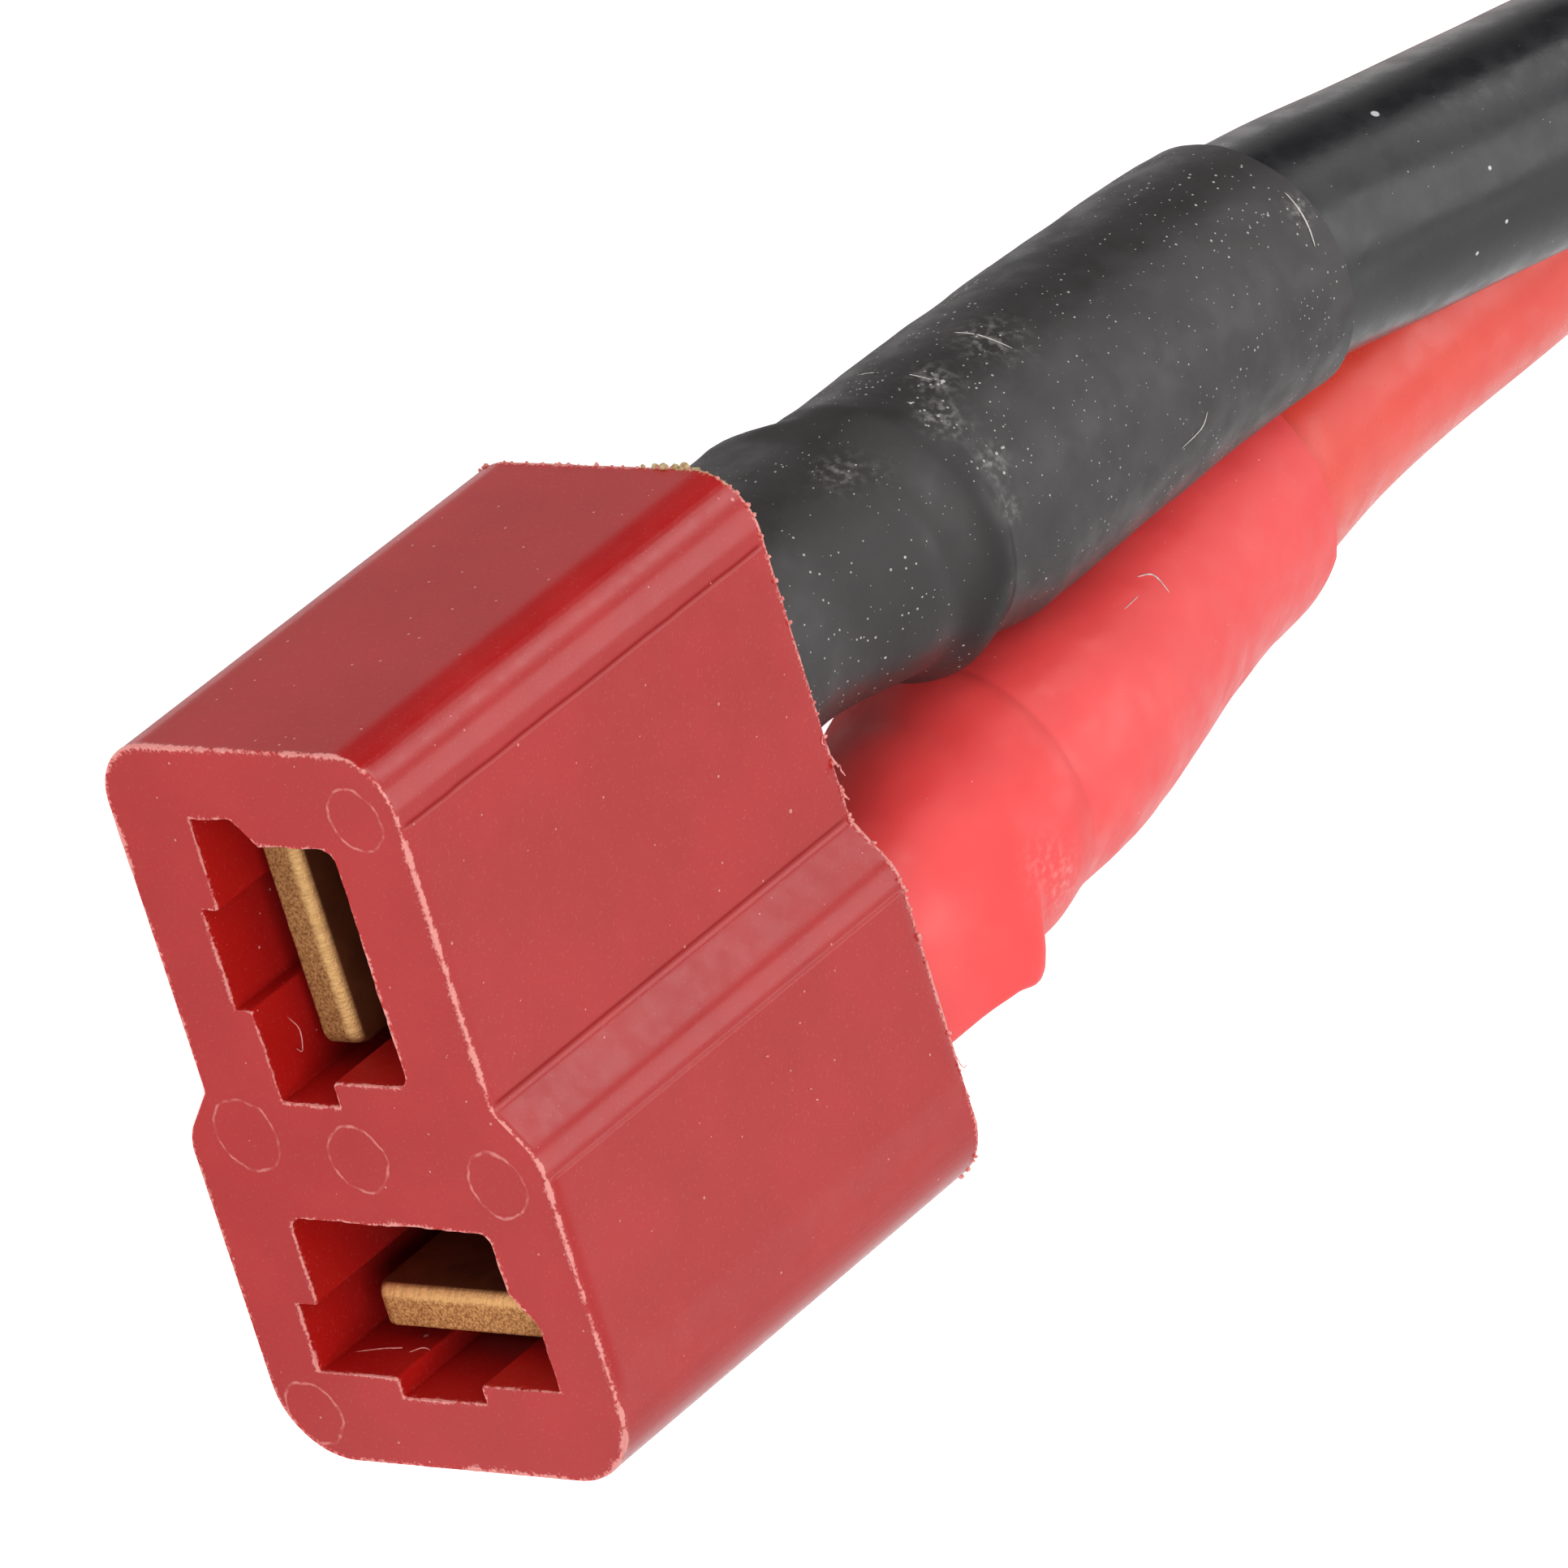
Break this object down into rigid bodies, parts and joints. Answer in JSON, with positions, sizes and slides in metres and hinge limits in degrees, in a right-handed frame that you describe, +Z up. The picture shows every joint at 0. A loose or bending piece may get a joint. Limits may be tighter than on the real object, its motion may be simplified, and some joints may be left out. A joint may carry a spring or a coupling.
{
  "type": "power connector socket",
  "caption": "Socket half of a small flat-contact battery power connector, with stepped pockets set at right angles, sprung contact bars and sleeved free leads.",
  "frame": {"origin": "centre of the lowest plane of the housing and sleeves, which the housing's lower broad side lies on", "axes": "+X from the negative to the positive pole along the face, +Y back along the sleeves and leads, +Z up through the broad sides; the mating face looks along -Y"},
  "size_m": [0.0244, 0.1256, 0.0109],
  "materials": {
    "housing_nylon": "moulded, slightly satin, with pale flash at the edges",
    "contact_brass": "plated, dull, sheared edges",
    "spring_steel": "satin",
    "tinned_copper": "tinned strands",
    "solder": "smooth, bright grey",
    "black_sleeving": "matte, dusty",
    "red_sleeving": "satin",
    "black_silicone": "semi-gloss",
    "red_silicone": "semi-gloss"
  },
  "bodies": {
    "socket": {"housing": "housing_nylon", "negative_sleeve": "black_sleeving", "positive_sleeve": "red_sleeving", "negative_lead": "black_silicone", "positive_lead": "red_silicone", "negative_tinned_end": "tinned_copper", "positive_tinned_end": "tinned_copper", "negative_contact_spring": "spring_steel", "positive_contact_spring": "spring_steel"},
    "negative_contact": {"negative_contact": "contact_brass", "negative_conductor": "tinned_copper", "negative_solder": "solder"},
    "positive_contact": {"positive_contact": "contact_brass", "positive_conductor": "tinned_copper", "positive_solder": "solder"}
  },
  "joints": [
    {"name": "negative_contact_rock", "type": "hinge", "parent": "socket", "child": "negative_contact", "pos_m": [-0.00329, -0.00465, 0.00365], "axis": [1, 0, 0], "range_deg": [0, 2], "stiffness_Nm_per_rad": 0.6, "deforming": ["negative_contact_spring"]},
    {"name": "positive_contact_rock", "type": "hinge", "parent": "socket", "child": "positive_contact", "pos_m": [0.00513, -0.00465, 0.00485], "axis": [0, 0, 1], "range_deg": [0, 2], "stiffness_Nm_per_rad": 0.6, "deforming": ["positive_contact_spring"]}
  ]
}
